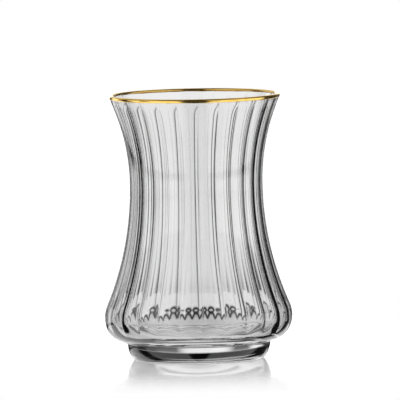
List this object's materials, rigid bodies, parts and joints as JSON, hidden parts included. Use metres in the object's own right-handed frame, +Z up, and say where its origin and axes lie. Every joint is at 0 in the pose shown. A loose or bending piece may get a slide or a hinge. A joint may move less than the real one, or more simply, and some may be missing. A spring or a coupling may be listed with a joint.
{
  "type": "turkish tea glass",
  "caption": "Clear waisted tea glass with a flared gilded lip, optic flutes inside, a full bulge low down and a heavy round foot",
  "frame": {"origin": "centre of the resting ring's plane, on the axis of the glass", "axes": "+Z up along the axis from the foot to the lip; -Y is the front as shown; the glass is round about Z"},
  "size_m": [0.064, 0.064, 0.09],
  "materials": {
    "clear_glass": "clear blown soda-lime glass, fire polished, optic flutes on the inner wall",
    "gold": "thin bright gold line fired on the lip"
  },
  "bodies": {
    "root": {"glass": "clear_glass", "gilded_rim": "gold"}
  },
  "joints": []
}
